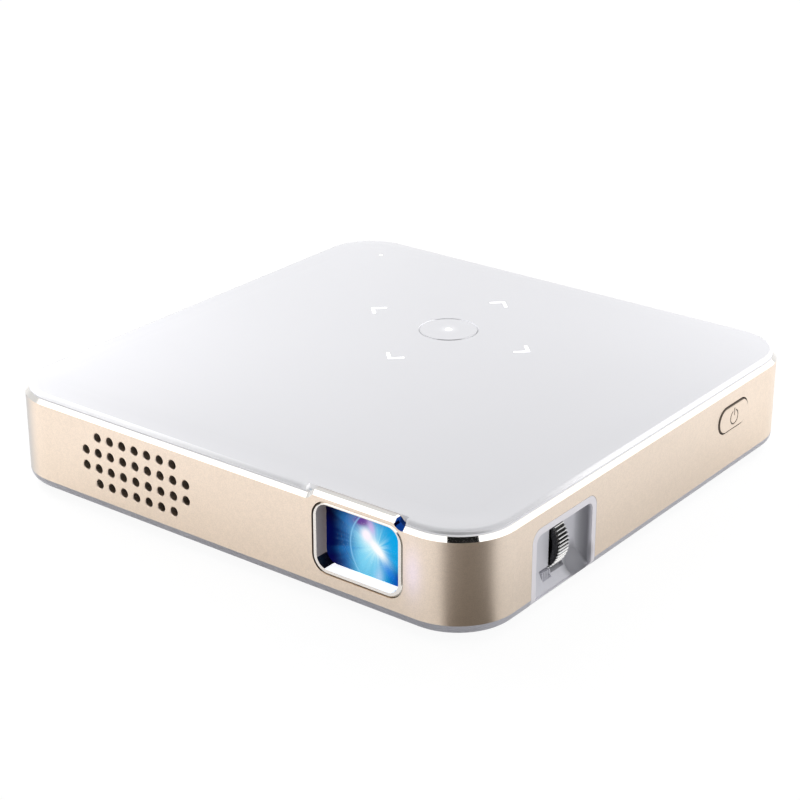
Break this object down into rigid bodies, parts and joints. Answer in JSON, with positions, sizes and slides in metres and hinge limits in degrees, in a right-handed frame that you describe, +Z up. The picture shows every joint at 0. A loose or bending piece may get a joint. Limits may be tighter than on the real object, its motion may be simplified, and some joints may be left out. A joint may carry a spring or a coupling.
{
  "type": "pocket projector",
  "caption": "Flat square pocket projector with a geared focus wheel, sprung power button, sliding lens group, blower, battery and touch field in a metal side band.",
  "frame": {"origin": "centre of the footprint, on the plane of the feet", "axes": "+X right seen from the front, +Y from the lens face to the back, +Z up"},
  "size_m": [0.1003, 0.1, 0.019],
  "materials": {
    "band_gold": "bead-blasted champagne anodising",
    "cover_white": "gloss",
    "gasket_grey": "matt",
    "shell_grey": "satin",
    "bezel_metal": "polished",
    "window": "coated",
    "black_plastic": "matt",
    "insert_grey": "satin",
    "wheel_metal": "turned",
    "steel": "satin",
    "gear_nylon": "natural nylon",
    "lens_glass": "coated",
    "chip_mirror": "mirror array",
    "board_green": "solder mask",
    "board_white": "matt",
    "copper": "copper",
    "aluminium": "mill",
    "battery_foil": "foil pouch",
    "wire_black": "sheath",
    "chip_black": "moulded",
    "panel_grey": "matt",
    "flex_amber": "polyimide",
    "icon_lit": "lit diffuser",
    "cloth_black": "mesh",
    "cone_black": "pressed",
    "button_gold": "satin champagne",
    "foot_rubber": "matt",
    "brass": "turned"
  },
  "bodies": {
    "case": {"side_band": "band_gold", "top_cover": "cover_white", "cover_gasket": "gasket_grey", "bottom_shell": "shell_grey", "lens_bezel": "bezel_metal", "window_glass": "window", "window_mask": "black_plastic", "focus_pocket": "insert_grey", "wheel_axle": "steel", "wheel_bracket": "black_plastic", "idler_pin": "steel", "lens_housing": "black_plastic", "engine_housing": "black_plastic", "engine_lid": "black_plastic", "prism": "lens_glass", "mirror_chip": "chip_mirror", "mirror_chip_board": "board_green", "dichroic_plates": "lens_glass", "relay_lens": "lens_glass", "collimator_lenses": "lens_glass", "led_modules": "board_white", "heat_spreader": "copper", "heat_pipe": "copper", "heat_sink": "aluminium", "fan_housing": "black_plastic", "fan_lid": "aluminium", "fan_motor": "copper", "battery": "battery_foil", "wire_leads": "wire_black", "main_board": "board_green", "board_screws": "steel", "shield_can": "steel", "board_chips": "chip_black", "hdmi_socket": "steel", "usb_socket": "steel", "audio_socket": "black_plastic", "dc_socket": "black_plastic", "port_panel": "panel_grey", "touch_board": "board_green", "touch_flex": "flex_amber", "touch_icons": "icon_lit", "status_light_pipe": "icon_lit", "speaker_cloth": "cloth_black", "speaker_frame": "black_plastic", "speaker_cone": "cone_black", "speaker_magnet": "steel", "switch_bracket": "black_plastic", "button_switch": "board_green", "rubber_feet": "foot_rubber", "case_screws": "steel", "tripod_bush": "brass"},
    "focus_wheel": {"focus_wheel": "wheel_metal"},
    "idler": {"idler_gear": "gear_nylon"},
    "ring": {"focus_ring": "gear_nylon"},
    "lens_group": {"lens_cell": "black_plastic", "front_lens": "lens_glass", "middle_lens": "lens_glass", "rear_lens": "lens_glass"},
    "button": {"power_button": "button_gold"},
    "rotor": {"fan_rotor": "black_plastic"}
  },
  "joints": [
    {"name": "focus_wheel_turn", "type": "hinge", "parent": "case", "child": "focus_wheel", "pos_m": [0.04412, -0.0249, 0.0084], "axis": [0, 1, 0], "range_deg": [-90, 90]},
    {"name": "idler_turn", "type": "hinge", "parent": "case", "child": "idler", "pos_m": [0.0359, -0.0249, 0.00813], "axis": [0, 1, 0], "range_deg": [-145, 145]},
    {"name": "focus_ring_turn", "type": "hinge", "parent": "case", "child": "ring", "pos_m": [0.0283, -0.0249, 0.01125], "axis": [0, 1, 0], "range_deg": [-84, 84]},
    {"name": "lens_focus_slide", "type": "slide", "parent": "case", "child": "lens_group", "axis": [0, -1, 0], "range_m": [-0.00114, 0.00114]},
    {"name": "power_button_press", "type": "slide", "parent": "case", "child": "button", "axis": [-1, 0, 0], "range_m": [0, 0.0006], "stiffness_N_per_m": 1500, "springref_m": -0.0003},
    {"name": "fan_spin", "type": "hinge", "parent": "case", "child": "rotor", "pos_m": [-0.02565, 0.0235, 0.0043], "axis": [0, 0, 1], "continuous": true}
  ],
  "couplings": [
    {"joint": "focus_wheel_turn", "follows": "lens_focus_slide", "rad_per_m": 1265.8},
    {"joint": "focus_ring_turn", "follows": "lens_focus_slide", "rad_per_m": 1265.8},
    {"joint": "idler_turn", "follows": "lens_focus_slide", "rad_per_m": -2194.1}
  ]
}
